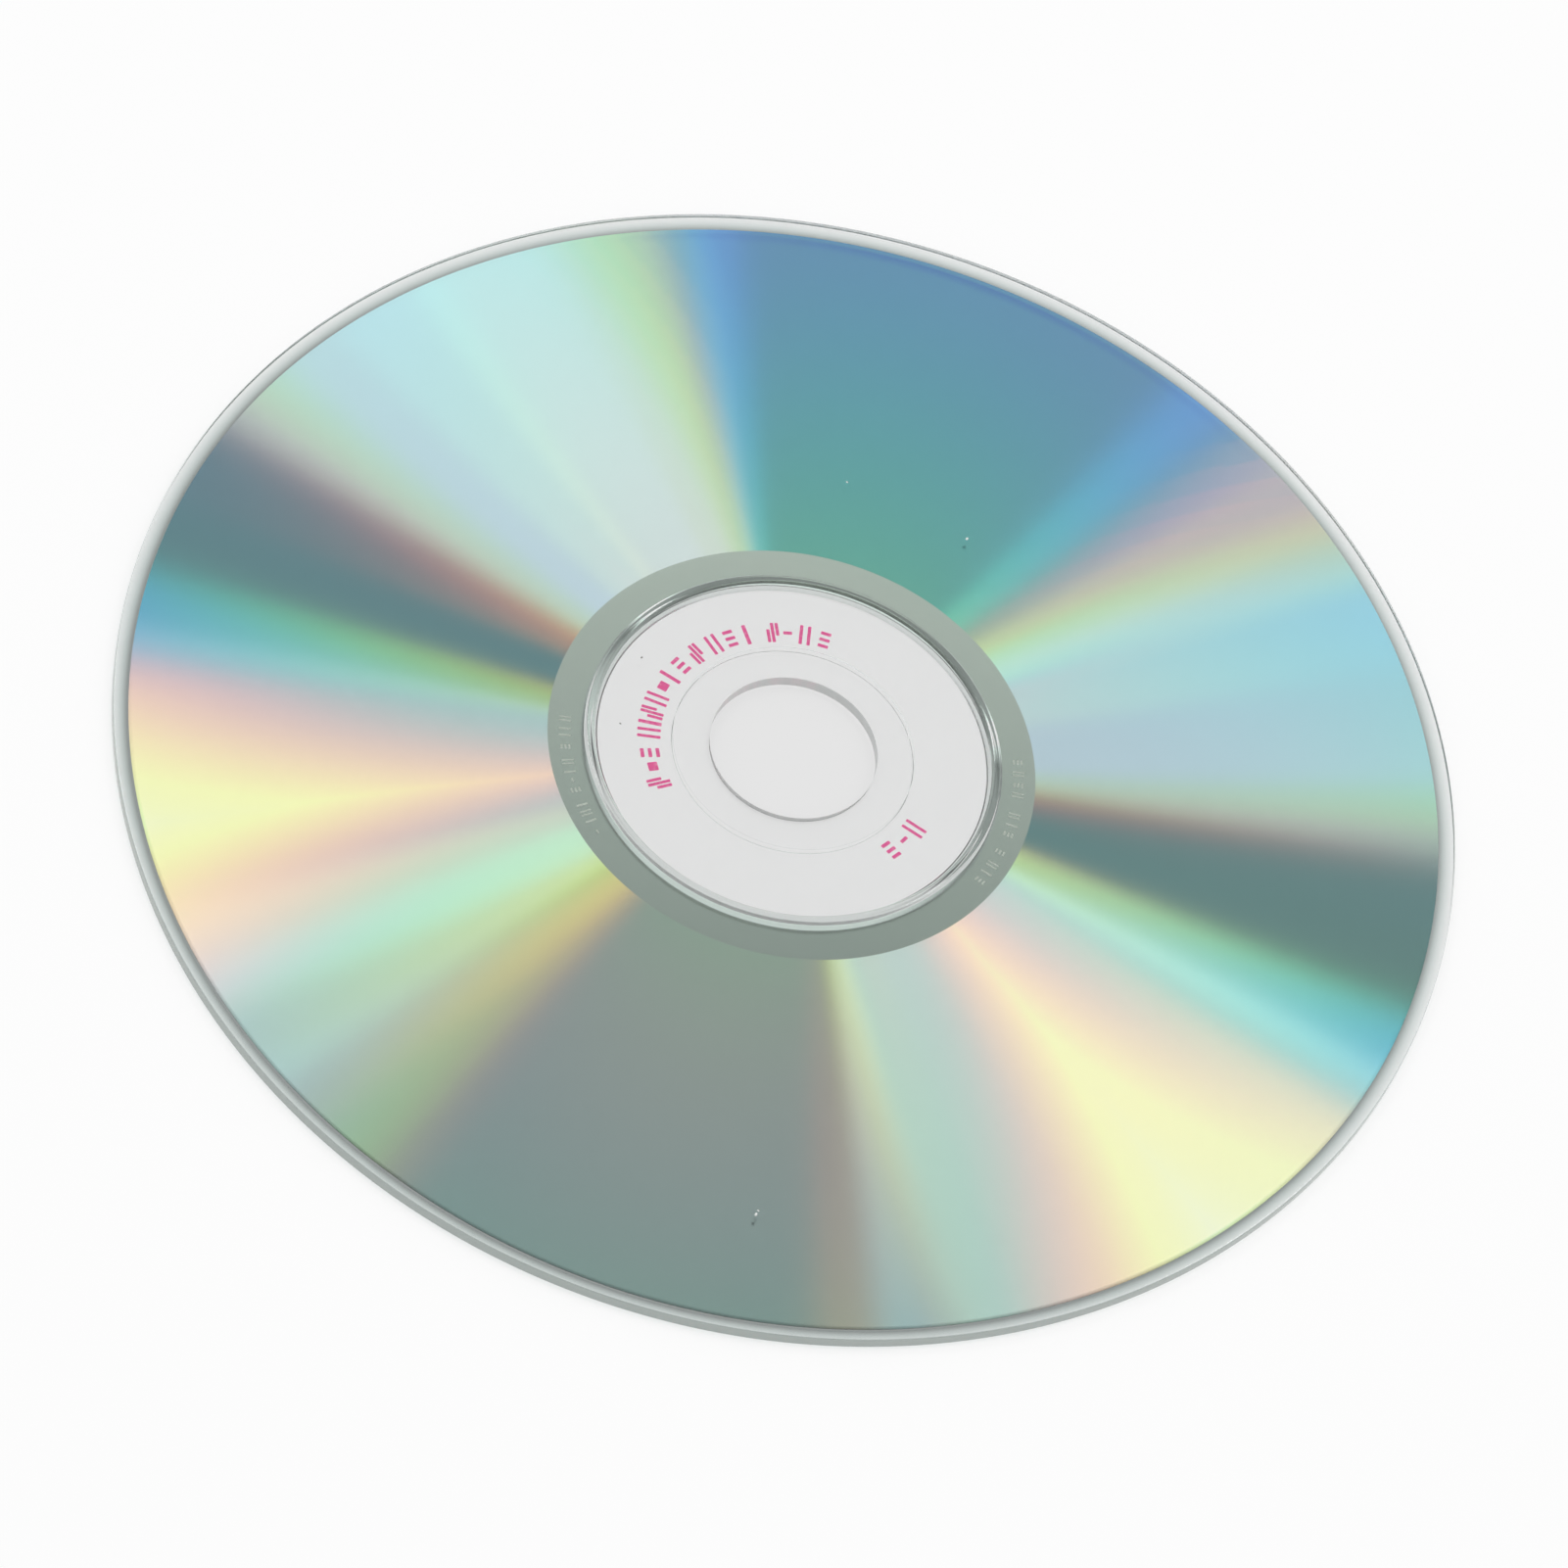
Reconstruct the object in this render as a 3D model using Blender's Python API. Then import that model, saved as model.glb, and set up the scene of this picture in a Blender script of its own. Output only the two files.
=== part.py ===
# Compact disc lying with its read side up.
# Metres, +Z up. The Z axis is the disc's axis, and the label side rests on Z = 0.

import math

import bmesh
import bpy

MM = 0.001

# Moulded disc
DISC_RADIUS = 60.0 * MM
DISC_THICKNESS = 1.2 * MM
HOLE_RADIUS = 7.5 * MM
HOLE_ROUND = 0.12 * MM
RIM_ROUND = 0.22 * MM

# Thinner collar round the hole, with the same step on both faces
COLLAR_WIDTH = 3.35 * MM
COLLAR_RECESS = 0.04 * MM
COLLAR_STEP_WIDTH = 0.05 * MM

# Ridge on the read side that keeps stacked discs apart
RIDGE_RADIUS = 18.25 * MM
RIDGE_BASE_WIDTH = 0.95 * MM
RIDGE_CROWN_WIDTH = 0.5 * MM
RIDGE_HEIGHT = 0.25 * MM
RIDGE_ROUND = 0.1 * MM

# Groove that the mould's stamper holder leaves round the hub on the label side
HUB_RADIUS = 17.45 * MM
GROOVE_WIDTH = 0.6 * MM
GROOVE_FLANK = 0.12 * MM
GROOVE_DEPTH = 0.15 * MM

# Mirrored recording layer with its lacquer, bonded to the label side
COAT_THICKNESS = 0.03 * MM
COAT_SETBACK = 0.75 * MM
CLEAR_RIM_WIDTH = 1.45 * MM

# Facets
TURN_STEPS = 144
ROUND_STEPS = 3

COLLAR_RADIUS = HOLE_RADIUS + COLLAR_WIDTH
GROOVE_OUTER_RADIUS = HUB_RADIUS + GROOVE_WIDTH
COAT_INNER_RADIUS = GROOVE_OUTER_RADIUS + COAT_SETBACK
COAT_OUTER_RADIUS = DISC_RADIUS - CLEAR_RIM_WIDTH
SEAT_HEIGHT = COAT_THICKNESS
READ_FACE_HEIGHT = DISC_THICKNESS


def clear_scene():
    for item in list(bpy.data.objects):
        bpy.data.objects.remove(item, do_unlink=True)


def make_material(name, color, roughness, metallic=0.0, transmission=0.0, ior=1.5):
    material = bpy.data.materials.new(name)
    material.use_nodes = True
    shader = material.node_tree.nodes["Principled BSDF"]
    shader.inputs["Base Color"].default_value = (*color, 1.0)
    shader.inputs["Roughness"].default_value = roughness
    shader.inputs["Metallic"].default_value = metallic
    shader.inputs["Transmission Weight"].default_value = transmission
    shader.inputs["IOR"].default_value = ior
    return material


# A section is a closed outline of corners in the XZ plane. Each corner is (radius, height, rounding),
# where the rounding is the length that the fillet takes off both of its edges.
def hub_label_corners():
    step_foot = COLLAR_RADIUS - COLLAR_STEP_WIDTH
    return [
        (HOLE_RADIUS, COLLAR_RECESS, HOLE_ROUND),
        (step_foot, COLLAR_RECESS, 0.0),
        (COLLAR_RADIUS, 0.0, 0.0),
        (HUB_RADIUS, 0.0, 0.0),
    ]


def groove_corners():
    return [
        (HUB_RADIUS + GROOVE_FLANK, GROOVE_DEPTH, 0.0),
        (GROOVE_OUTER_RADIUS - GROOVE_FLANK, GROOVE_DEPTH, 0.0),
        (GROOVE_OUTER_RADIUS, SEAT_HEIGHT, 0.0),
    ]


def rim_corners():
    return [
        (DISC_RADIUS, SEAT_HEIGHT, RIM_ROUND),
        (DISC_RADIUS, READ_FACE_HEIGHT, RIM_ROUND),
    ]


def ridge_corners():
    half_base = RIDGE_BASE_WIDTH / 2
    half_crown = RIDGE_CROWN_WIDTH / 2
    crown_height = READ_FACE_HEIGHT + RIDGE_HEIGHT
    return [
        (RIDGE_RADIUS + half_base, READ_FACE_HEIGHT, 0.0),
        (RIDGE_RADIUS + half_crown, crown_height, RIDGE_ROUND),
        (RIDGE_RADIUS - half_crown, crown_height, RIDGE_ROUND),
        (RIDGE_RADIUS - half_base, READ_FACE_HEIGHT, 0.0),
    ]


def hub_read_corners():
    collar_height = READ_FACE_HEIGHT - COLLAR_RECESS
    return [
        (COLLAR_RADIUS, READ_FACE_HEIGHT, 0.0),
        (COLLAR_RADIUS - COLLAR_STEP_WIDTH, collar_height, 0.0),
        (HOLE_RADIUS, collar_height, HOLE_ROUND),
    ]


def coat_corners():
    return [
        (COAT_INNER_RADIUS, 0.0, 0.0),
        (COAT_OUTER_RADIUS, 0.0, 0.0),
        (COAT_OUTER_RADIUS, SEAT_HEIGHT, 0.0),
        (COAT_INNER_RADIUS, SEAT_HEIGHT, 0.0),
    ]


def draw_section(bm, corners):
    """Draw the outline as one face and fillet its rounded corners."""
    verts = [bm.verts.new((radius, 0.0, height)) for radius, height, rounding in corners]
    bm.faces.new(verts)
    for vert, (radius, height, rounding) in zip(verts, corners):
        if rounding > 0.0:
            bmesh.ops.bevel(bm, geom=[vert], offset=rounding, offset_type="OFFSET",
                            segments=ROUND_STEPS, profile=0.5, affect="VERTICES")


def turn_section(bm):
    """Sweep the outline once round the Z axis into a closed ring."""
    bmesh.ops.delete(bm, geom=bm.faces[:], context="FACES_ONLY")
    bmesh.ops.spin(bm, geom=bm.verts[:] + bm.edges[:], cent=(0.0, 0.0, 0.0), axis=(0.0, 0.0, 1.0),
                   angle=math.tau, steps=TURN_STEPS, use_merge=True)
    bmesh.ops.recalc_face_normals(bm, faces=bm.faces[:])


def make_turned_piece(name, corners, material):
    bm = bmesh.new()
    draw_section(bm, corners)
    turn_section(bm)
    mesh = bpy.data.meshes.new(name)
    bm.to_mesh(mesh)
    bm.free()
    mesh.materials.append(material)
    mesh.shade_smooth()
    mesh.set_sharp_from_angle(angle=math.radians(25))
    piece = bpy.data.objects.new(name, mesh)
    bpy.context.scene.collection.objects.link(piece)
    return piece


def make_disc():
    corners = hub_label_corners() + groove_corners() + rim_corners() + ridge_corners() + hub_read_corners()
    clear = make_material("clear_polycarbonate", (0.93, 0.94, 0.94), 0.03, transmission=1.0, ior=1.585)
    return make_turned_piece("polycarbonate_disc", corners, clear)


def make_coat():
    mirror = make_material("mirror_coat", (0.62, 0.68, 0.65), 0.12, metallic=1.0)
    return make_turned_piece("reflective_coat", coat_corners(), mirror)


clear_scene()
disc = make_disc()
coat = make_coat()
coat.parent = disc
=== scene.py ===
import math

import bmesh
import bpy
import numpy as np
from mathutils import Matrix


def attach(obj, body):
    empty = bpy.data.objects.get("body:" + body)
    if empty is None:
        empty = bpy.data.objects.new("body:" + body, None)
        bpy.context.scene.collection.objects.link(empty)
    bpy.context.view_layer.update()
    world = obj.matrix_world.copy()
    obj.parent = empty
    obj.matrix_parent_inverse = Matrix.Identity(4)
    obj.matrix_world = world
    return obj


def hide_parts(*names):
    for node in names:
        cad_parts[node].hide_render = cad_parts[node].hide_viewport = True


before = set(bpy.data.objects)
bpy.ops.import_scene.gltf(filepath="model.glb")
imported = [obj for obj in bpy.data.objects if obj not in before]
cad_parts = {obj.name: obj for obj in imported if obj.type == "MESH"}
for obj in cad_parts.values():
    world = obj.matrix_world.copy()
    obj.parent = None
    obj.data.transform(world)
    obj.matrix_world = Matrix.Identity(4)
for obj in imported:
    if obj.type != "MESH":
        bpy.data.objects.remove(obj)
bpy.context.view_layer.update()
mm = 0.001
mergeReach = 0.001 * mm
ringReach = 0.004 * mm


# modelling by hand

def startRing(name, radius, height, segments):
    # a circle of vertices, left selected in edit mode, ready to be pulled into a section
    bpy.ops.object.select_all(action="DESELECT")
    place = (0, 0, height * mm)
    bpy.ops.mesh.primitive_circle_add(vertices=segments, radius=radius * mm, location=place)
    ring = bpy.context.object
    ring.name = name
    ring.data.name = name
    bpy.ops.object.transform_apply(location=True, rotation=True, scale=True)
    bpy.ops.object.mode_set(mode="EDIT")
    bpy.ops.mesh.select_mode(type="EDGE")
    bpy.ops.mesh.select_all(action="SELECT")
    return ring


def pullRing(fromPlace, toPlace):
    # extrudes the selected ring, lifts it and scales it about the disc's axis
    lift = (toPlace[1] - fromPlace[1]) * mm
    growth = toPlace[0] / fromPlace[0]
    bpy.ops.mesh.extrude_edges_move(TRANSFORM_OT_translate={"value": (0, 0, lift)})
    bpy.ops.transform.resize(value=(growth, growth, 1), center_override=(0, 0, 0))


def pullSection(name, corners, segments):
    # pulls a ring through every corner of the section and back to the first, then merges the seam
    piece = startRing(name, corners[0][0], corners[0][1], segments)
    for start, end in zip(corners, corners[1:] + corners[:1]):
        pullRing(start, end)
    bpy.ops.mesh.select_all(action="SELECT")
    bpy.ops.mesh.remove_doubles(threshold=mergeReach)
    bpy.ops.mesh.normals_make_consistent(inside=False)
    return piece


def pickRing(piece, radius, height):
    # selects the ring of edges at this radius and height
    sheet = bmesh.from_edit_mesh(piece.data)
    bpy.ops.mesh.select_all(action="DESELECT")
    for edge in sheet.edges:
        there = all(abs(math.hypot(v.co.x, v.co.y) - radius * mm) < ringReach
                    and abs(v.co.z - height * mm) < ringReach for v in edge.verts)
        edge.select_set(there)
    bmesh.update_edit_mesh(piece.data)


def roundRing(piece, radius, height, rounding, steps):
    pickRing(piece, radius, height)
    bpy.ops.mesh.bevel(offset_type="OFFSET", offset=rounding * mm, segments=steps, profile=0.5,
                       affect="EDGES")


def finishPiece(piece, smoothAngle):
    bpy.ops.object.mode_set(mode="OBJECT")
    bpy.ops.object.select_all(action="DESELECT")
    piece.select_set(True)
    bpy.context.view_layer.objects.active = piece
    bpy.ops.object.shade_smooth_by_angle(angle=math.radians(smoothAngle))


# materials

def newMaterial(name):
    material = bpy.data.materials.new(name)
    material.use_nodes = True
    nodes = material.node_tree.nodes
    return material, nodes, material.node_tree.links, nodes["Principled BSDF"]


scratchWork = {
    "warpScale": 40.0, "warpDetail": 2.0, "warp": (0.02, 0.02, 0.0),
    "patchScale": 90.0, "patchDetail": 3.0, "patchFrom": 0.62, "patchTo": 0.72,
    "cloudScale": 25.0, "cloudDetail": 4.0,
}


def makeFineScratches():
    # hairline marks and faint clouding: two masks from 0 to 1 over the surface
    d = scratchWork
    group = bpy.data.node_groups.new("fineScratches", "ShaderNodeTree")
    for label, value in (("Scale", 60.0), ("Thinness", 0.02), ("Clouding", 0.3)):
        socket = group.interface.new_socket(label, in_out="INPUT", socket_type="NodeSocketFloat")
        socket.default_value = value
    group.interface.new_socket("Scratches", in_out="OUTPUT", socket_type="NodeSocketFloat")
    group.interface.new_socket("Clouds", in_out="OUTPUT", socket_type="NodeSocketFloat")
    nodes, links = group.nodes, group.links
    entry, leave = nodes.new("NodeGroupInput"), nodes.new("NodeGroupOutput")
    place = nodes.new("ShaderNodeTexCoord")
    warp = nodes.new("ShaderNodeTexNoise")
    warp.inputs["Scale"].default_value = d["warpScale"]
    warp.inputs["Detail"].default_value = d["warpDetail"]
    links.new(place.outputs["Object"], warp.inputs["Vector"])
    cells = nodes.new("ShaderNodeTexVoronoi")
    cells.feature = "DISTANCE_TO_EDGE"
    links.new(entry.outputs["Scale"], cells.inputs["Scale"])
    mixPlace = nodes.new("ShaderNodeVectorMath")
    mixPlace.operation = "MULTIPLY_ADD"
    mixPlace.inputs[1].default_value = d["warp"]
    links.new(warp.outputs["Color"], mixPlace.inputs[0])
    links.new(place.outputs["Object"], mixPlace.inputs[2])
    links.new(mixPlace.outputs["Vector"], cells.inputs["Vector"])
    thin = nodes.new("ShaderNodeMath")
    thin.operation = "LESS_THAN"
    links.new(cells.outputs["Distance"], thin.inputs[0])
    links.new(entry.outputs["Thinness"], thin.inputs[1])
    patches = nodes.new("ShaderNodeTexNoise")
    patches.inputs["Scale"].default_value = d["patchScale"]
    patches.inputs["Detail"].default_value = d["patchDetail"]
    links.new(place.outputs["Object"], patches.inputs["Vector"])
    sparse = nodes.new("ShaderNodeMapRange")
    sparse.inputs["From Min"].default_value = d["patchFrom"]
    sparse.inputs["From Max"].default_value = d["patchTo"]
    links.new(patches.outputs["Fac"], sparse.inputs["Value"])
    both = nodes.new("ShaderNodeMath")
    both.operation = "MULTIPLY"
    links.new(thin.outputs[0], both.inputs[0])
    links.new(sparse.outputs["Result"], both.inputs[1])
    links.new(both.outputs[0], leave.inputs["Scratches"])
    clouds = nodes.new("ShaderNodeTexNoise")
    clouds.inputs["Scale"].default_value = d["cloudScale"]
    clouds.inputs["Detail"].default_value = d["cloudDetail"]
    links.new(place.outputs["Object"], clouds.inputs["Vector"])
    level = nodes.new("ShaderNodeMath")
    level.operation = "MULTIPLY"
    links.new(clouds.outputs["Fac"], level.inputs[0])
    links.new(entry.outputs["Clouding"], level.inputs[1])
    links.new(level.outputs[0], leave.inputs["Clouds"])
    return group


fineScratches = makeFineScratches()


def placeScratches(nodes, settings):
    # places the group with its scale, thinness and clouding
    marks = nodes.new("ShaderNodeGroup")
    marks.node_tree = fineScratches
    for label, value in zip(("Scale", "Thinness", "Clouding"), settings):
        marks.inputs[label].default_value = value
    return marks


def mapTo(nodes, links, value, low, high):
    # turns a 0 to 1 mask into the range low to high
    spread = nodes.new("ShaderNodeMapRange")
    spread.inputs["To Min"].default_value = low
    spread.inputs["To Max"].default_value = high
    links.new(value, spread.inputs["Value"])
    return spread.outputs["Result"]


# the clear moulded disc

clearDisc = {
    "segments": 480,
    "radius": 60.0, "thickness": 1.2, "seat": 0.03,
    "hole": 7.5, "collar": 10.85, "collarStep": 0.05, "collarRecess": 0.04,
    "hub": 17.45, "grooveOut": 18.05, "grooveFlank": 0.12, "grooveDepth": 0.15,
    "ridge": 18.25, "ridgeFoot": 0.475, "ridgeTop": 0.25, "ridgeHeight": 0.25,
    "holeRound": 0.06, "rimRound": 0.13, "ridgeRound": 0.1, "roundSteps": 5, "smooth": 25,
    "wallSlope": 0.8, "wallReach": 0.2, "grooveReach": 1.1,
    "tint": (0.995, 1.0, 0.998), "cloudShade": 0.985, "rough": (0.0, 0.12), "index": 1.585,
    "scratches": (180.0, 0.015, 1.0),
    "rimTint": (0.82, 0.91, 0.87), "rimClear": 0.55, "rimRough": 0.12,
    "holeTint": (0.82, 0.84, 0.83), "holeClear": 0.35, "holeRough": 0.3,
    "grooveTint": (0.84, 0.90, 0.88), "grooveClear": 0.8, "grooveRough": 0.15,
    "frostShade": 0.94, "frostSmoother": 0.05, "frostRougher": 0.1,
    "frostScratches": (400.0, 0.03, 1.0),
}


def makeClearPlastic():
    d = clearDisc
    material, nodes, links, shader = newMaterial("clearPlastic")
    marks = placeScratches(nodes, d["scratches"])
    shader.inputs["Transmission Weight"].default_value = 1.0
    shader.inputs["IOR"].default_value = d["index"]
    tone = nodes.new("ShaderNodeMix")
    tone.data_type = "RGBA"
    tone.inputs[6].default_value = (*d["tint"], 1)
    tone.inputs[7].default_value = (*[d["cloudShade"] * v for v in d["tint"]], 1)
    links.new(marks.outputs["Clouds"], tone.inputs[0])
    links.new(tone.outputs[2], shader.inputs["Base Color"])
    worn = mapTo(nodes, links, marks.outputs["Scratches"], *d["rough"])
    links.new(worn, shader.inputs["Roughness"])
    return material


def makeFrosted(name, tint, clear, rough):
    # plastic that the mould has left a little frosted
    d = clearDisc
    material, nodes, links, shader = newMaterial(name)
    marks = placeScratches(nodes, d["frostScratches"])
    shader.inputs["Transmission Weight"].default_value = clear
    shader.inputs["IOR"].default_value = d["index"]
    tone = nodes.new("ShaderNodeMix")
    tone.data_type = "RGBA"
    tone.inputs[6].default_value = (*tint, 1)
    tone.inputs[7].default_value = (*[d["frostShade"] * v for v in tint], 1)
    links.new(marks.outputs["Clouds"], tone.inputs[0])
    links.new(tone.outputs[2], shader.inputs["Base Color"])
    smoothest, roughest = rough - d["frostSmoother"], rough + d["frostRougher"]
    grain = mapTo(nodes, links, marks.outputs["Clouds"], smoothest, roughest)
    links.new(grain, shader.inputs["Roughness"])
    return material


def makeClearDisc():
    d = clearDisc
    seat, top = d["seat"], d["thickness"]
    foot, crown = d["ridgeFoot"], d["ridgeTop"]
    crest = top + d["ridgeHeight"]
    collarTop = top - d["collarRecess"]
    corners = [
        (d["hole"], d["collarRecess"]),
        (d["collar"] - d["collarStep"], d["collarRecess"]),
        (d["collar"], 0.0),
        (d["hub"], 0.0),
        (d["hub"] + d["grooveFlank"], d["grooveDepth"]),
        (d["grooveOut"] - d["grooveFlank"], d["grooveDepth"]),
        (d["grooveOut"], seat),
        (d["radius"], seat),
        (d["radius"], top),
        (d["ridge"] + foot, top),
        (d["ridge"] + crown, crest),
        (d["ridge"] - crown, crest),
        (d["ridge"] - foot, top),
        (d["collar"], top),
        (d["collar"] - d["collarStep"], collarTop),
        (d["hole"], collarTop),
    ]
    piece = pullSection("clearDisc", corners, d["segments"])
    roundRing(piece, d["hole"], d["collarRecess"], d["holeRound"], d["roundSteps"])
    roundRing(piece, d["hole"], collarTop, d["holeRound"], d["roundSteps"])
    roundRing(piece, d["radius"], seat, d["rimRound"], d["roundSteps"])
    roundRing(piece, d["radius"], top, d["rimRound"], d["roundSteps"])
    roundRing(piece, d["ridge"] + crown, crest, d["ridgeRound"], d["roundSteps"])
    roundRing(piece, d["ridge"] - crown, crest, d["ridgeRound"], d["roundSteps"])
    finishPiece(piece, d["smooth"])
    piece.data.materials.append(makeClearPlastic())
    # the walls of the rim and of the hole, and the groove left by the stamper's holder; the collar's
    # step has the groove's finish
    for part in ("rim", "hole", "groove"):
        frosted = makeFrosted(part + "Plastic", d[part + "Tint"], d[part + "Clear"], d[part + "Rough"])
        piece.data.materials.append(frosted)
    for face in piece.data.polygons:
        reach = math.hypot(face.center.x, face.center.y) / mm
        steep = abs(face.normal.z) < d["wallSlope"]
        low = face.center.z < d["grooveDepth"] * d["grooveReach"] * mm
        if steep and reach > d["radius"] - d["wallReach"]:
            face.material_index = 1
        elif steep and reach < d["hole"] + d["wallReach"]:
            face.material_index = 2
        elif low and d["hub"] < reach < d["grooveOut"]:
            face.material_index = 3
        elif d["collar"] - d["collarStep"] < reach < d["collar"]:
            face.material_index = 3
    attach(piece, "root")
    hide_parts("polycarbonate_disc")
    print("clear disc:", len(piece.data.polygons), "faces")


# the mirrored recording layer

mirrorLayer = {
    "segments": 1080, "smooth": 25,
    "inner": 18.1, "outer": 58.55, "bottom": 0.0, "top": 0.04, "bottomRing": 38.0,
    "glintIn": 18.25, "paintedRingSplit": 18.48, "glintOut": 18.54, "paintedRingEdge": 18.86, "edgeShadeFrom": 58.2,
    "paintSeam": 0.02, "edgeShadeStep": 0.2, "plainBand": 21.85, "bandRing": 20.3, "bandSeam": 0.04,
    "ringGap": 0.9, "leastGap": 0.3,
    # the groove's painted reflections are worked out once, for an eye at this place, and stay on the
    # surface
    "eye": (-94.75, -359.4, 501.0), "pitch": 1600.0, "waves": (405, 695, 10),
    "endBlur": 1.0, "vivid": 1.15,
    "plainNear": (0.24, 0.29, 0.26), "plainFar": (0.39, 0.455, 0.405),
    "paintedEdgeShade": 0.55, "paintedEdgeShadeAt": (262, 60, 55),
    "edgeLine": (0.06, 0.11, 0.42), "edgeLineShare": 0.75, "edgeLineAt": (74, 21, 26),
    "edgeLineRadius": 57.75, "edgeLineHalf": 0.25, "edgeLineBlend": 0.35,
    "paintedRingTint": (0.93, 1.06, 1.0), "paintedRingBlend": 40,
    # the painted ring of light and shade under the ridge, its inner and its outer band
    "paintedRingInner": {"side": 0.28, "far": (0.68, 75, 45), "near": (0.6, 241, 79)},
    "paintedRingOuter": {"side": 0.36, "far": (0.22, 75, 60), "near": (0.57, 258, 52)},
    "glints": ((13, 7), (132, 8)),
    "gloss": 0.9, "shine": 0.012, "darkest": 0.005,
    "rough": (0.16, 0.24), "scratches": (90.0, 0.02, 1.0),
}

# The lights round the bench as the groove meets them, on a chart of directions seen from above. The
# chart's middle is the way to the eye's own mirror image. A light runs from one bearing to another and
# lies between a near and a far reach from the middle; with each degree away from its waist the near
# edge moves out by sweep and the far edge by back.
# each: from, to, waist, near, far, sweep, back, strength, blur
# the reflections of these lights are painted into the mirror layer's colour
benchLights = {
    "left": (168, 218, 199, 0.08, 0.405, 0.0098, 0.001, 0.18, 0.006),
    "left hem": (218, 232, 218, 0.32, 0.43, 0.0055, 0.0, 0.20, 0.006),
    "left hem low": (218, 226, 222, 0.10, 0.24, 0.0, 0.0, 0.08, 0.006),
    "left end": (168, 176, 172, 0.36, 0.44, 0.0, 0.0, 0.12, 0.008),
    "left fill": (202, 220, 211, 0.37, 0.47, 0.0, 0.0, 0.16, 0.005),
    "left tip": (177, 213, 193, 0.398, 0.57, 0.004, 0.0, 0.62, 0.006),
    "left edge": (208, 221, 214, 0.63, 0.70, 0.0, 0.0, 0.80, 0.01),
    "left glow": (213, 235, 224, 0.455, 0.52, 0.0, 0.0, 0.20, 0.01),
    "low wall": (222, 280, 251, 0.64, 0.68, 0.0, 0.0, 0.22, 0.01),
    "right": (301, 340, 301, 0.05, 0.41, 0.0086, 0.001, 0.20, 0.006),
    "right low": (279, 301, 301, 0.05, 0.405, 0.0118, 0.001, 0.21, 0.006),
    "right end": (331, 339, 335, 0.32, 0.44, 0.0, 0.0, 0.18, 0.006),
    "right fill": (286, 328, 306, 0.41, 0.50, 0.0, 0.0, 0.12, 0.01),
    "right foot": (273, 280, 277, 0.43, 0.54, 0.0, 0.0, 0.16, 0.01),
    "right tip": (291, 329, 311, 0.388, 0.58, 0.0042, 0.0, 0.46, 0.006),
    "far middle": (44, 98, 71, 0.14, 0.28, 0.0, 0.0, 0.09, 0.01),
    "far glow": (44, 98, 71, 0.325, 0.37, 0.0, 0.0, 0.19, 0.008),
    "far seam left": (97, 102, 100, 0.31, 0.37, 0.0, 0.0, 0.30, 0.01),
    "far seam right": (38, 50, 44, 0.32, 0.38, 0.0, 0.0, 0.22, 0.01),
    "far rim glow": (44, 98, 71, 0.435, 0.48, 0.0, 0.0, 0.08, 0.01),
    "far left": (100, 152, 125, 0.14, 2.0, 0.0, 0.0, 0.16, 0.01),
    "far left streak": (127, 138, 132, 0.37, 0.42, 0.0, 0.0, 0.12, 0.01),
    "far left glow": (104, 129, 116, 0.37, 0.44, 0.0, 0.0, 0.12, 0.01),
    "far right": (-5, 25, 22, 0.14, 0.42, 0.0, 0.003, 0.12, 0.008),
    "far right low": (25, 38, 32, 0.14, 0.385, 0.0, 0.0, 0.15, 0.008),
    "far right high": (29, 43, 35, 0.42, 0.50, 0.0, 0.0, 0.16, 0.008),
    "far right line": (36, 43, 39, 0.44, 0.54, 0.0, 0.0, 0.45, 0.01),
    "far right glow": (14, 26, 22, 0.37, 0.41, 0.0, 0.0, 0.12, 0.01),
}
# how strongly each order of the groove shines in red, green and blue, and for each of the three the
# layer's painted plain reflection: its level and how much that gains over a radius along X and along Y
orderTints = ((1.04, 1.1, 1.0), (0.35, 0.45, 0.2), (0.1, 0.05, 0.1))
plainShine = ((0.135, 0.0, -0.01), (0.225, 0.0, 0.0), (0.23, 0.0, 0.06))
# how the three answer to a wavelength, as bells: share, peak, width below it, width above it
eyeBells = {
    "red": ((1.0, 602, 36, 36), (0.14, 440, 20, 22), (-0.12, 515, 25, 25)),
    "green": ((1.0, 545, 36, 38), (-0.06, 620, 20, 30)),
    "blue": ((1.0, 456, 26, 38),),
}
greyShares = (0.2126, 0.7152, 0.0722)
steepest = 12  # past this many blurs an edge has faded out
skimming = 0.995  # light that leaves the groove flatter than this is lost


def bell(waves, peak, shorter, longer):
    return np.exp(-0.5 * ((waves - peak) / np.where(waves < peak, shorter, longer)) ** 2)


def waveColours(waves):
    # how red, green and blue each wavelength looks, scaled so that all of them together are white
    answers = []
    for bells in eyeBells.values():
        answers.append(sum(share * bell(waves, *shape) for share, *shape in bells))
    colours = np.stack(answers, 1)
    return colours / colours.sum(0)


def fadeOut(beyond, blur):
    # 1 well inside an edge and 0 well beyond it
    return 1 / (1 + np.exp(np.clip(beyond / blur, -steepest, steepest)))


def benchLight(reach, bearing, light):
    # how bright one light is at each direction of the chart
    start, end, waist, near, far, sweep, back, strength, blur = light
    middle = (start + end) / 2
    turn = (bearing - middle + 180) % 360 - 180
    off = np.abs(turn + middle - waist)
    across = fadeOut(np.abs(turn) - (end - start) / 2, mirrorLayer["endBlur"])
    outward = fadeOut(near + sweep * off - reach, blur) * fadeOut(reach - far - back * off, blur)
    return strength * across * outward


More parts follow.
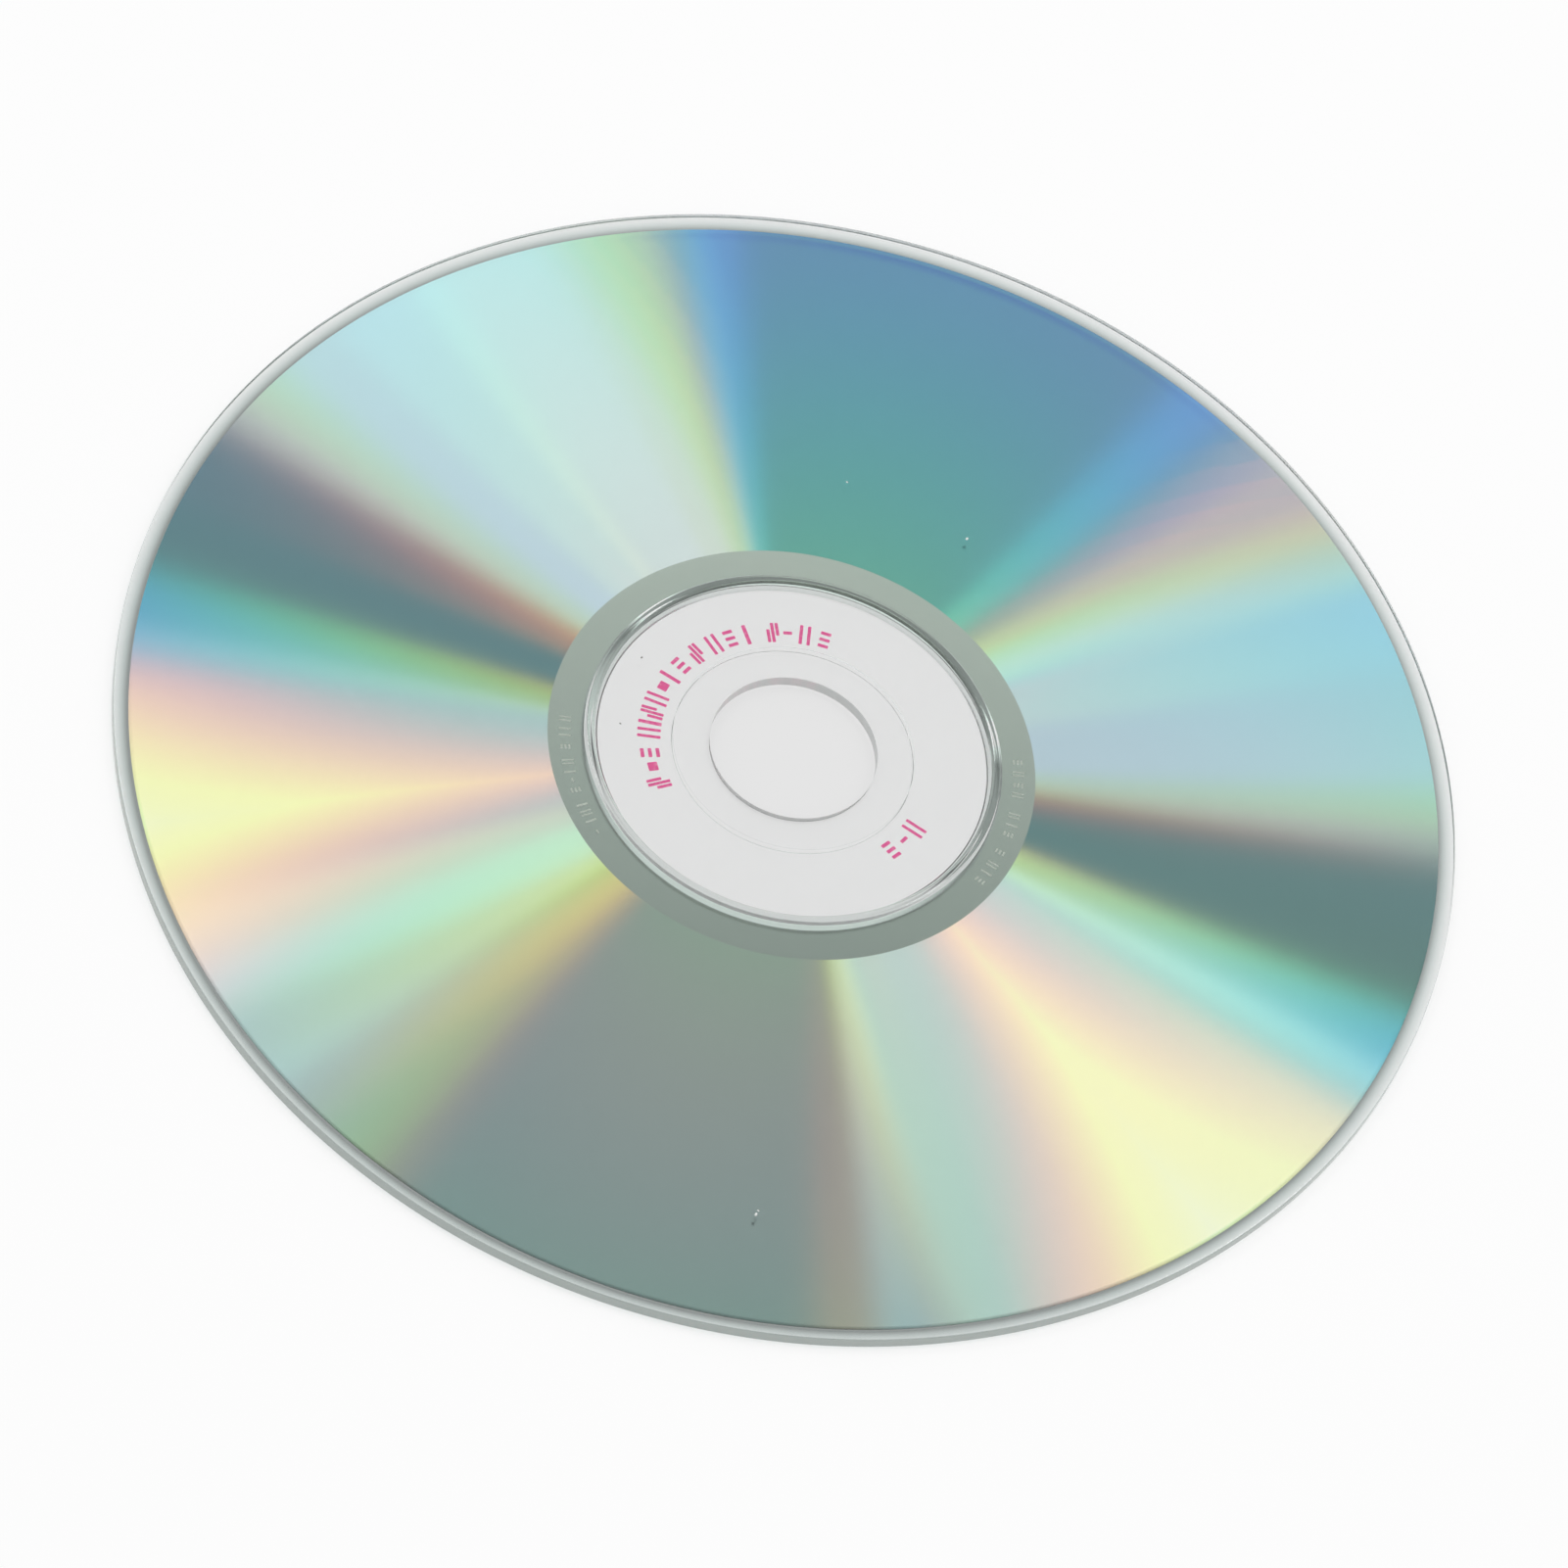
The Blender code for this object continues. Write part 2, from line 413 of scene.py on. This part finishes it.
def paintedGrooveReflections(places):
    # painted reflections: what the spiral groove, a grating of one fixed pitch, sends to the eye from
    # every place
    d = mirrorLayer
    waves = np.arange(d["waves"][0], d["waves"][1] + 1, d["waves"][2], dtype=float)
    hues = waveColours(waves)
    eye = np.array(d["eye"]) - np.array([0, 0, clearDisc["thickness"]])
    chartMiddle = -eye[:2] / np.linalg.norm(eye)
    toEye = eye - np.column_stack([places, np.zeros(len(places))])
    toEye /= np.linalg.norm(toEye, axis=1, keepdims=True)
    outward = places / np.linalg.norm(places, axis=1, keepdims=True)
    seen = np.zeros((len(places), 3))
    for order, tint in enumerate(orderTints, 1):
        for side in (1, -1):
            for wave, hue in zip(waves, hues):
                way = side * order * wave / d["pitch"] * outward - toEye[:, :2]
                spot = way - chartMiddle
                reach = np.linalg.norm(spot, axis=1)
                bearing = np.degrees(np.arctan2(spot[:, 1], spot[:, 0]))
                light = sum(benchLight(reach, bearing, box) for box in benchLights.values())
                light = np.where((way ** 2).sum(1) < skimming, light, 0.0)
                seen += light[:, None] * hue * np.array(tint)
    # the layer's plain reflection is painted on top, changing a little across the disc
    level = np.column_stack([np.ones(len(places)), places / clearDisc["radius"]])
    seen += level @ np.array(plainShine).T
    # a camera deepens colours a little, away from their own grey
    grey = seen @ np.array(greyShares)
    return grey[:, None] + (seen - grey[:, None]) * d["vivid"]


def shareNear(value, middle, half, blend):
    # 1 within half of the middle, fading to 0 beyond it over the blend
    return np.clip(0.5 + (half - np.abs(value - middle)) / blend, 0, 1)


def shareRound(turn, bearing, half, blend):
    # the same round the disc, in degrees
    return shareNear((turn - bearing + 180) % 360 - 180, 0, half, blend)


def paintedRingTone(turn, paintedTones):
    # how light the painted ring of light and shade looks: at the sides, then on the far side, then on
    # the near side
    tone = np.full(len(turn), paintedTones["side"])
    for part in ("far", "near"):
        level, bearing, half = paintedTones[part]
        tone += shareRound(turn, bearing, half, mirrorLayer["paintedRingBlend"]) * (level - paintedTones["side"])
    return tone


def paintMirror(piece):
    d = mirrorLayer
    mesh = piece.data
    count = len(mesh.vertices)
    spots = np.zeros(count * 3)
    mesh.vertices.foreach_get("co", spots)
    spots = spots.reshape(-1, 3)[:, :2] / mm
    radius = np.linalg.norm(spots, axis=1)
    paint = paintedGrooveReflections(spots)
    # the plain band inside the grooves gets a painted reflection, darker on the near side and lighter
    # on the far side
    near, far = np.array(d["plainNear"]), np.array(d["plainFar"])
    rise = np.clip(spots[:, 1:2] / (2 * d["plainBand"]) + 0.5, 0, 1)
    plain = near + (far - near) * rise
    paint = np.where(radius[:, None] < d["plainBand"], plain, paint)
    turn = np.degrees(np.arctan2(spots[:, 1], spots[:, 0])) % 360
    # painted light and shade in a ring under the ridge: dark on the far side, light on the near side,
    # with two painted glints
    paintedRing = np.where(radius < d["paintedRingSplit"], paintedRingTone(turn, d["paintedRingInner"]), paintedRingTone(turn, d["paintedRingOuter"]))
    glinting = (d["glintIn"] < radius) & (radius < d["glintOut"])
    for bearing, half in d["glints"]:
        shine = shareRound(turn, bearing, half, half)
        paintedRing = np.where(glinting, paintedRing + shine * (1.0 - paintedRing), paintedRing)
    paint = np.where(radius[:, None] < d["paintedRingEdge"], paintedRing[:, None] * np.array(d["paintedRingTint"]), paint)
    # painted shade over the outer edge, growing towards the rim and darker on the near side
    fall = np.clip((radius - d["edgeShadeFrom"]) / (d["outer"] - d["edgeShadeFrom"]), 0, 1)
    paint = paint * (1 - d["paintedEdgeShade"] * shareRound(turn, *d["paintedEdgeShadeAt"]) * fall)[:, None]
    # a painted reflection, a thin blue line, runs just inside it on the far side
    line = shareRound(turn, *d["edgeLineAt"]) * d["edgeLineShare"]
    line *= shareNear(radius, d["edgeLineRadius"], d["edgeLineHalf"], d["edgeLineBlend"])
    paint = paint + line[:, None] * (np.array(d["edgeLine"]) - paint)
    # the plastic over the layer adds its own shine, so the layer is painted that much deeper
    paint = np.clip((paint - d["shine"]) / d["gloss"], d["darkest"], 1.0)
    # the painted reflections, light and shade are stored on the layer as its colour
    layer = mesh.color_attributes.new(name="paintedReflectionAndShade", type="FLOAT_COLOR", domain="POINT")
    layer.data.foreach_set("color", np.column_stack([paint, np.ones(count)]).ravel())


def makeMirrorMaterial():
    material, nodes, links, shader = newMaterial("groovedMirror")
    # the base colour is the painted reflection, light and shade of the groove
    paint = nodes.new("ShaderNodeAttribute")
    paint.attribute_name = "paintedReflectionAndShade"
    links.new(paint.outputs["Color"], shader.inputs["Base Color"])
    marks = placeScratches(nodes, mirrorLayer["scratches"])
    haze = mapTo(nodes, links, marks.outputs["Clouds"], *mirrorLayer["rough"])
    links.new(haze, shader.inputs["Roughness"])
    shader.inputs["Metallic"].default_value = 1.0
    return material


lacquer = {
    "pale": (0.56, 0.57, 0.57), "paler": (0.66, 0.67, 0.67),
    "rough": (0.32, 0.5), "metallic": 0.6, "scratches": (120.0, 0.02, 1.0),
}


def makeLacquer():
    # the satin silver lacquer of the label side
    material, nodes, links, shader = newMaterial("labelLacquer")
    marks = placeScratches(nodes, lacquer["scratches"])
    tone = nodes.new("ShaderNodeMix")
    tone.data_type = "RGBA"
    tone.inputs[6].default_value = (*lacquer["pale"], 1)
    tone.inputs[7].default_value = (*lacquer["paler"], 1)
    links.new(marks.outputs["Clouds"], tone.inputs[0])
    links.new(tone.outputs[2], shader.inputs["Base Color"])
    worn = mapTo(nodes, links, marks.outputs["Scratches"], *lacquer["rough"])
    links.new(worn, shader.inputs["Roughness"])
    shader.inputs["Metallic"].default_value = lacquer["metallic"]
    return material


def makeMirrorLayer():
    d = mirrorLayer
    band, seam = d["plainBand"], d["paintSeam"]
    # rings from the rim inwards, close together on both sides of every change of colour
    radii = [d["outer"], d["edgeShadeFrom"] + d["edgeShadeStep"], d["edgeShadeFrom"], d["edgeShadeFrom"] - d["edgeShadeStep"]]
    while radii[-1] - d["ringGap"] > band + d["leastGap"]:
        radii.append(radii[-1] - d["ringGap"])
    radii += [band + d["bandSeam"], band - d["bandSeam"], d["bandRing"]]
    for edge in ("paintedRingEdge", "glintOut", "paintedRingSplit", "glintIn"):
        radii += [d[edge] + seam, d[edge] - seam]
    radii.append(d["inner"])
    corners = [(radius, d["bottom"]) for radius in (d["inner"], d["bottomRing"], d["outer"])]
    corners += [(radius, d["top"]) for radius in radii]
    piece = pullSection("mirrorLayer", corners, d["segments"])
    finishPiece(piece, d["smooth"])
    paintMirror(piece)
    piece.data.materials.append(makeMirrorMaterial())
    piece.data.materials.append(makeLacquer())
    for face in piece.data.polygons:
        face.material_index = 1 if face.normal.z < -0.5 else 0  # lacquer underneath
    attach(piece, "root")
    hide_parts("reflective_coat")
    print("mirror layer:", len(piece.data.polygons), "faces")


# print, etched marks and dust

# a mark is a few bars, each given as (across, outward, width, height) in mm
markKinds = {
    "bar": ((0.0, 0.0, 0.36, 2.1),),
    "pair": ((-0.36, 0.0, 0.3, 2.1), (0.36, 0.0, 0.3, 2.1)),
    "steps": ((-0.42, -0.35, 0.3, 1.4), (0.0, 0.0, 0.3, 2.1), (0.42, 0.35, 0.3, 1.4)),
    "block": ((0.0, 0.0, 0.9, 0.9),),
    "dash": ((0.0, 0.0, 0.8, 0.34),),
    "stack": ((0.0, 0.7, 0.95, 0.34), (0.0, 0.0, 0.95, 0.34), (0.0, -0.7, 0.95, 0.34)),
}
markCorner = {"round": 0.07, "steps": 3}
# an arc is a row of marks, each at its bearing
hubPrint = {
    "height": 0.006, "thick": 0.008, "middle": 12.85, "share": 1.0,
    "colour": (0.85, 0.10, 0.33), "rough": 0.5, "metallic": 0.0, "glow": 0.25,
    "arc": ((77.0, "stack"), (85.0, "pair"), (92.0, "dash"), (98.0, "steps"), (109.0, "bar"),
            (116.0, "stack"), (123.5, "pair"), (132.5, "steps"), (141.5, "stack"), (149.0, "bar"),
            (154.5, "block"), (161.5, "pair"), (168.5, "steps"), (173.5, "bar"), (178.5, "pair"),
            (188.0, "stack"), (194.5, "block"), (202.5, "steps"), (327.5, "pair"), (320.5, "dash"),
            (313.0, "stack")),
}
bandMarks = {
    "height": 0.046, "thick": 0.006, "middle": 20.33, "share": 0.5,
    "colour": (0.50, 0.56, 0.49), "rough": 0.35, "metallic": 1.0, "glow": 0.0,
    "arc": ((177.5, "pair"), (180.5, "bar"), (182.5, "bar"), (186.0, "stack"), (190.5, "pair"),
            (193.5, "bar"), (196.0, "dash"), (199.0, "stack"), (203.5, "bar"), (206.0, "pair"),
            (208.5, "bar"), (212.0, "dash"), (4.0, "stack"), (0.5, "pair"), (357.0, "stack"),
            (354.0, "pair"), (347.5, "pair"), (344.5, "bar"), (341.5, "stack"), (335.5, "stack"),
            (331.0, "pair"), (328.0, "bar"), (325.0, "stack")),
}


def modelMark(kind, share, height, thick):
    # one mark, flat at the disc's centre, made of plates pulled up to their thickness
    plates = []
    for across, outward, width, tall in markKinds[kind]:
        bpy.ops.object.select_all(action="DESELECT")
        place = (across * share * mm, outward * share * mm, height * mm)
        bpy.ops.mesh.primitive_plane_add(size=mm, location=place)
        plate = bpy.context.object
        plate.scale = (width * share, tall * share, 1)
        bpy.ops.object.transform_apply(location=True, rotation=True, scale=True)
        bpy.ops.object.mode_set(mode="EDIT")
        bpy.ops.mesh.select_all(action="SELECT")
        rounding = markCorner["round"] * share * mm
        bpy.ops.mesh.bevel(offset=rounding, segments=markCorner["steps"], affect="VERTICES")
        bpy.ops.mesh.select_all(action="SELECT")
        bpy.ops.mesh.extrude_region_move(TRANSFORM_OT_translate={"value": (0, 0, thick * mm)})
        bpy.ops.mesh.select_all(action="SELECT")
        bpy.ops.mesh.normals_make_consistent(inside=False)
        bpy.ops.object.mode_set(mode="OBJECT")
        plates.append(plate)
    for plate in plates:
        plate.select_set(True)
    bpy.context.view_layer.objects.active = plates[0]
    if len(plates) > 1:
        bpy.ops.object.join()
    return bpy.context.object


def layMarks(name, marks):
    # copies each kind of mark out to its places round the axis, and joins them
    models = {}
    for kind in markKinds:
        models[kind] = modelMark(kind, marks["share"], marks["height"], marks["thick"])
    copies = []
    for turn, kind in marks["arc"]:
        copy = models[kind].copy()
        copy.data = models[kind].data.copy()
        bpy.context.scene.collection.objects.link(copy)
        out = Matrix.Translation((0, marks["middle"] * mm, 0))
        copy.data.transform(Matrix.Rotation(math.radians(turn - 90), 4, "Z") @ out)
        copies.append(copy)
    for model in models.values():
        bpy.data.objects.remove(model)
    bpy.ops.object.select_all(action="DESELECT")
    for copy in copies:
        copy.select_set(True)
    bpy.context.view_layer.objects.active = copies[0]
    bpy.ops.object.join()
    piece = bpy.context.object
    piece.name = name
    piece.data.name = name
    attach(piece, "root")
    return piece


inkGrain = {"scale": 2500.0, "detail": 2.0, "thinFrom": 0.5, "thinTo": 0.75, "paling": 0.22}


def makeInk(name, colour, rough, metallic, glow):
    # a colour that is a little thin in places; glow stands for the light that comes through from behind
    material, nodes, links, shader = newMaterial(name)
    grain = nodes.new("ShaderNodeTexNoise")
    grain.inputs["Scale"].default_value = inkGrain["scale"]
    grain.inputs["Detail"].default_value = inkGrain["detail"]
    place = nodes.new("ShaderNodeTexCoord")
    links.new(place.outputs["Object"], grain.inputs["Vector"])
    tone = nodes.new("ShaderNodeMix")
    tone.data_type = "RGBA"
    tone.inputs[6].default_value = (*colour, 1)
    tone.inputs[7].default_value = (*[v + (1 - v) * inkGrain["paling"] for v in colour], 1)
    thin = nodes.new("ShaderNodeMapRange")
    thin.inputs["From Min"].default_value = inkGrain["thinFrom"]
    thin.inputs["From Max"].default_value = inkGrain["thinTo"]
    links.new(grain.outputs["Fac"], thin.inputs["Value"])
    links.new(thin.outputs["Result"], tone.inputs[0])
    links.new(tone.outputs[2], shader.inputs["Base Color"])
    shader.inputs["Emission Color"].default_value = (*colour, 1)
    shader.inputs["Emission Strength"].default_value = glow
    shader.inputs["Roughness"].default_value = rough
    shader.inputs["Metallic"].default_value = metallic
    return material


def inkFor(name, marks):
    return makeInk(name, marks["colour"], marks["rough"], marks["metallic"], marks["glow"])


def makeMarks():
    ink = layMarks("hubPrint", hubPrint)
    ink.data.materials.append(inkFor("magentaInk", hubPrint))
    etched = layMarks("bandMarks", bandMarks)
    etched.data.materials.append(inkFor("etchedMetal", bandMarks))
    print("print and etched marks:", len(ink.data.polygons) + len(etched.data.polygons), "faces")


# a grain is its place on the disc and its size, in mm
dust = {
    "pale": ((15.9, 25.1, 0.16), (4.9, 30.0, 0.1), (-3.3, -48.5, 0.17), (-3.1, -48.1, 0.1)),
    "dark": ((-13.7, 7.9, 0.11), (-15.5, 0.5, 0.1)),
    "paleColour": (0.86, 0.87, 0.86), "darkColour": (0.16, 0.15, 0.14), "rough": 0.8,
    "flat": 0.35, "narrow": 0.62, "lift": 0.8, "uneven": 0.12, "fineness": 3, "smooth": 60,
    "firstTurn": 0.9, "turnStep": 1.7,
}


def makeDust(name, specks, colour):
    # grains of dust lying on the read face, each a flattened, uneven ball
    grains = []
    for step, (x, y, size) in enumerate(specks):
        bpy.ops.object.select_all(action="DESELECT")
        height = clearDisc["thickness"] + size * dust["flat"] * dust["lift"]
        place = (x * mm, y * mm, height * mm)
        bpy.ops.mesh.primitive_ico_sphere_add(subdivisions=dust["fineness"], radius=size * mm,
                                              location=place)
        grain = bpy.context.object
        grain.scale = (1.0, dust["narrow"], dust["flat"])
        grain.rotation_euler = (0, 0, dust["firstTurn"] + dust["turnStep"] * step)
        bpy.ops.object.transform_apply(location=True, rotation=True, scale=True)
        bpy.ops.object.mode_set(mode="EDIT")
        bpy.ops.mesh.select_all(action="SELECT")
        bump = dust["uneven"] * size * mm
        bpy.ops.transform.vertex_random(offset=bump, uniform=1.0, normal=0.0, seed=step)
        bpy.ops.object.mode_set(mode="OBJECT")
        grains.append(grain)
    for grain in grains:
        grain.select_set(True)
    bpy.context.view_layer.objects.active = grains[0]
    bpy.ops.object.join()
    piece = bpy.context.object
    piece.name = name
    piece.data.name = name
    finishPiece(piece, dust["smooth"])
    piece.data.materials.append(makeInk(name + "Grain", colour, dust["rough"], 0.0, 0.0))
    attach(piece, "root")
    print(name + ":", len(specks), "grains")


# floor, light and camera

# a painted shadow tone of the floor is a radius in mm, how light it is there and how much greener it
# leans
room = {
    "floorSize": 6.0, "floorGap": 0.02, "floorShown": 0.75, "rampSpan": 100.0, "blueLoss": 0.25,
    "paintedTones": ((0.0, 0.79, 0.0), (7.4, 0.79, 0.0), (7.8, 0.85, 0.0), (20.0, 0.85, 0.0),
              (24.0, 0.7, 0.0), (57.5, 0.7, 0.0), (58.5, 0.22, 0.1), (58.8, 0.44, 0.1),
              (59.0, 0.58, 0.1), (59.2, 0.69, 0.08), (59.6, 0.87, 0.04), (60.2, 0.985, 0.0)),
    "shadeShift": (-0.10, -0.15, 0.0),
    "skyPlain": 0.85, "seenLow": 0.8, "seenHigh": 1.0, "seenFrom": 0.0, "seenTo": 0.3,
    "glossLow": 1.0, "glossHigh": 0.4, "glossFrom": 0.3, "glossTo": 0.7,
    # each lamp: bearing, rise, width, height
    "lamps": {"leftSoftBox": (130, 54, 0.30, 0.12), "rightSoftBox": (20, 58, 0.30, 0.12)},
    "lampPower": 0.5, "lampAway": 0.8,
    "eye": (-94.753, -359.405, 500.962), "look": (34.946, -10.636, 0.0),
    "lens": 162.54, "sensor": 36.0, "seesFrom": 0.01, "seesTo": 20.0,
}


def makeFloor():
    size = room["floorSize"]
    bpy.ops.object.select_all(action="DESELECT")
    bpy.ops.mesh.primitive_plane_add(size=size, location=(0, 0, -room["floorGap"] * mm))
    floor = bpy.context.object
    floor.name = "floor"
    bpy.ops.object.transform_apply(location=True, rotation=True, scale=True)
    material, nodes, links, shader = newMaterial("paleFloor")
    place = nodes.new("ShaderNodeTexCoord")
    split = nodes.new("ShaderNodeSeparateXYZ")
    links.new(place.outputs["Object"], split.inputs[0])
    flat = nodes.new("ShaderNodeCombineXYZ")
    links.new(split.outputs["X"], flat.inputs["X"])
    links.new(split.outputs["Y"], flat.inputs["Y"])
    # the shade under the disc lies a little towards the near side, away from the light
    span = nodes.new("ShaderNodeVectorMath")
    span.operation = "DISTANCE"
    span.inputs[1].default_value = [v * mm for v in room["shadeShift"]]
    links.new(flat.outputs["Vector"], span.inputs[0])
    share = nodes.new("ShaderNodeMath")
    share.operation = "MULTIPLY"
    share.inputs[1].default_value = 1 / (room["rampSpan"] * mm)
    links.new(span.outputs["Value"], share.inputs[0])
    # painted shadow: the floor is darker under the disc, darkest under the mirror's outer edge, and
    # leans green under the rim
    tone = nodes.new("ShaderNodeValToRGB")
    stops = tone.color_ramp.elements
    while len(stops) < len(room["paintedTones"]):
        stops.new(0.5)
    for stop, (radius, value, green) in zip(stops, room["paintedTones"]):
        stop.position = radius / room["rampSpan"]
        stop.color = (value * (1 - green), value, value * (1 - green * room["blueLoss"]), 1)
    links.new(share.outputs[0], tone.inputs["Fac"])
    links.new(tone.outputs["Color"], shader.inputs["Base Color"])
    shader.inputs["Roughness"].default_value = 1.0
    shader.inputs["Specular IOR Level"].default_value = 0.0
    shown = nodes.new("ShaderNodeEmission")
    links.new(tone.outputs["Color"], shown.inputs["Color"])
    rays = nodes.new("ShaderNodeLightPath")
    looks = rays.outputs["Is Camera Ray"]
    for other in ("Is Glossy Ray", "Is Transmission Ray"):
        either = nodes.new("ShaderNodeMath")
        either.operation = "MAXIMUM"
        links.new(looks, either.inputs[0])
        links.new(rays.outputs[other], either.inputs[1])
        looks = either.outputs[0]
    portion = nodes.new("ShaderNodeMath")
    portion.operation = "MULTIPLY"
    portion.inputs[1].default_value = room["floorShown"]
    links.new(looks, portion.inputs[0])
    blend = nodes.new("ShaderNodeMixShader")
    links.new(portion.outputs[0], blend.inputs[0])
    links.new(shader.outputs[0], blend.inputs[1])
    links.new(shown.outputs[0], blend.inputs[2])
    links.new(blend.outputs[0], nodes["Material Output"].inputs["Surface"])
    floor.data.materials.append(material)


def makeSky():
    sky = bpy.data.worlds.new("studioSky")
    bpy.context.scene.world = sky
    sky.use_nodes = True
    nodes, links = sky.node_tree.nodes, sky.node_tree.links
    backdrop = nodes["Background"]
    way = nodes.new("ShaderNodeTexCoord")
    split = nodes.new("ShaderNodeSeparateXYZ")
    links.new(way.outputs["Generated"], split.inputs[0])
    rays = nodes.new("ShaderNodeLightPath")
    level = None
    # plain light for matt surfaces, then what a polished face mirrors, then what clear plastic shows
    for ray, part in (("Is Glossy Ray", "gloss"), ("Is Transmission Ray", "seen")):
        height = nodes.new("ShaderNodeMapRange")
        height.interpolation_type = "SMOOTHSTEP"
        height.inputs["From Min"].default_value = room[part + "From"]
        height.inputs["From Max"].default_value = room[part + "To"]
        height.inputs["To Min"].default_value = room[part + "Low"]
        height.inputs["To Max"].default_value = room[part + "High"]
        links.new(split.outputs["Z"], height.inputs["Value"])
        shown = nodes.new("ShaderNodeMix")
        shown.data_type = "FLOAT"
        if level is None:
            shown.inputs[2].default_value = room["skyPlain"]
        else:
            links.new(level, shown.inputs[2])
        links.new(rays.outputs[ray], shown.inputs[0])
        links.new(height.outputs["Result"], shown.inputs[3])
        level = shown.outputs[0]
    behind = nodes.new("ShaderNodeMix")
    behind.data_type = "FLOAT"
    behind.inputs[3].default_value = 1.0
    links.new(rays.outputs["Is Camera Ray"], behind.inputs[0])
    links.new(level, behind.inputs[2])
    links.new(behind.outputs[0], backdrop.inputs["Strength"])
    backdrop.inputs["Color"].default_value = (1, 1, 1, 1)


def makeLamp(name, bearing, rise, wide, tall):
    # a soft box aimed at the disc
    bearing, rise = math.radians(bearing), math.radians(rise)
    away = room["lampAway"]
    spot = (away * math.cos(rise) * math.cos(bearing), away * math.cos(rise) * math.sin(bearing),
            away * math.sin(rise))
    bpy.ops.object.light_add(type="AREA", location=spot, rotation=(0, math.pi / 2 - rise, bearing))
    lamp = bpy.context.object
    lamp.name = name
    lamp.data.shape = "RECTANGLE"
    lamp.data.size = tall
    lamp.data.size_y = wide
    lamp.data.energy = room["lampPower"]
    lamp.visible_transmission = False


def makeCamera():
    eye = [v * mm for v in room["eye"]]
    turn = [math.radians(v) for v in room["look"]]
    bpy.ops.object.camera_add(location=eye, rotation=turn)
    camera = bpy.context.object
    camera.name = "photoView"
    camera.data.sensor_width = room["sensor"]
    camera.data.lens = room["lens"]
    camera.data.clip_start = room["seesFrom"]
    camera.data.clip_end = room["seesTo"]
    bpy.context.scene.camera = camera


makeClearDisc()
makeMirrorLayer()
makeMarks()
makeDust("paleDust", dust["pale"], dust["paleColour"])
makeDust("darkDust", dust["dark"], dust["darkColour"])
makeFloor()
makeSky()
for lampName, lampPlan in room["lamps"].items():
    makeLamp(lampName, *lampPlan)
makeCamera()
bpy.context.scene.view_settings.view_transform = "Standard"
print("floor, light and camera are in place")
